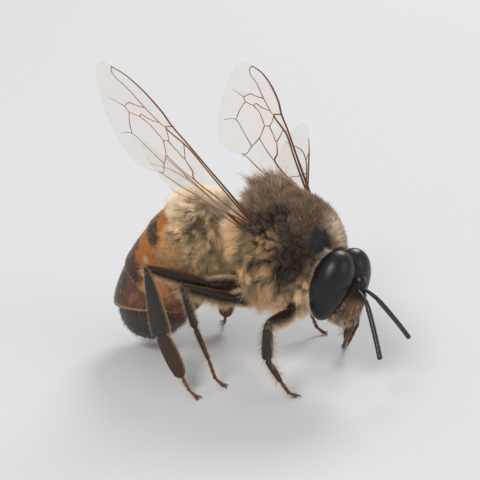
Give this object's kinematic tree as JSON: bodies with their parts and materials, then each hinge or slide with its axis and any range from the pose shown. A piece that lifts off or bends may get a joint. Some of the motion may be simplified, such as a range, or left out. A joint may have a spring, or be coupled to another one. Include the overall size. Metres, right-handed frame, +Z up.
{
  "type": "honey bee model",
  "caption": "Still, life-size honey bee drone standing on its feet, with raised wings, hairy thorax, banded abdomen, large eyes and feelers.",
  "frame": {"origin": "centre of the model's bounding box in plan, at the level of the six soles", "axes": "+X forward, the way the thorax faces; +Y to the bee's left; +Z up"},
  "size_m": [0.0164, 0.0138, 0.0159],
  "materials": {
    "coat": "dense velvety hair",
    "face_hair": "dark shell with short hair",
    "eye": "satin, finely faceted",
    "feeler": "matte",
    "jaw": "satin",
    "waist": "satin",
    "abdomen_plate": "satin shell with hair",
    "shell": "glossy",
    "leg": "satin shell with hair",
    "foot": "satin",
    "wing": "thin clear membrane"
  },
  "bodies": {
    "root": {"head": "face_hair", "eye_right": "eye", "eye_left": "eye", "scape_right": "feeler", "scape_left": "feeler", "flagellum_right": "feeler", "flagellum_left": "feeler", "mandible_right": "jaw", "mandible_left": "jaw", "thorax": "coat", "waist": "waist", "abdomen_1": "abdomen_plate", "abdomen_2": "abdomen_plate", "abdomen_3": "abdomen_plate", "abdomen_4": "abdomen_plate", "abdomen_5": "abdomen_plate", "abdomen_6": "abdomen_plate", "tegula_right": "shell", "tegula_left": "shell", "forewing_right": "wing", "forewing_left": "wing", "hindwing_right": "wing", "hindwing_left": "wing", "leg_front_right_coxa": "leg", "leg_front_right_femur": "leg", "leg_front_right_tibia": "leg", "leg_front_right_basitarsus": "leg", "leg_front_right_tarsus": "foot", "leg_front_left_coxa": "leg", "leg_front_left_femur": "leg", "leg_front_left_tibia": "leg", "leg_front_left_basitarsus": "leg", "leg_front_left_tarsus": "foot", "leg_middle_right_coxa": "leg", "leg_middle_right_femur": "leg", "leg_middle_right_tibia": "leg", "leg_middle_right_basitarsus": "leg", "leg_middle_right_tarsus": "foot", "leg_middle_left_coxa": "leg", "leg_middle_left_femur": "leg", "leg_middle_left_tibia": "leg", "leg_middle_left_basitarsus": "leg", "leg_middle_left_tarsus": "foot", "leg_hind_right_coxa": "leg", "leg_hind_right_femur": "leg", "leg_hind_right_tibia": "leg", "leg_hind_right_basitarsus": "leg", "leg_hind_right_tarsus": "foot", "leg_hind_left_coxa": "leg", "leg_hind_left_femur": "leg", "leg_hind_left_tibia": "leg", "leg_hind_left_basitarsus": "leg", "leg_hind_left_tarsus": "foot"}
  },
  "joints": []
}
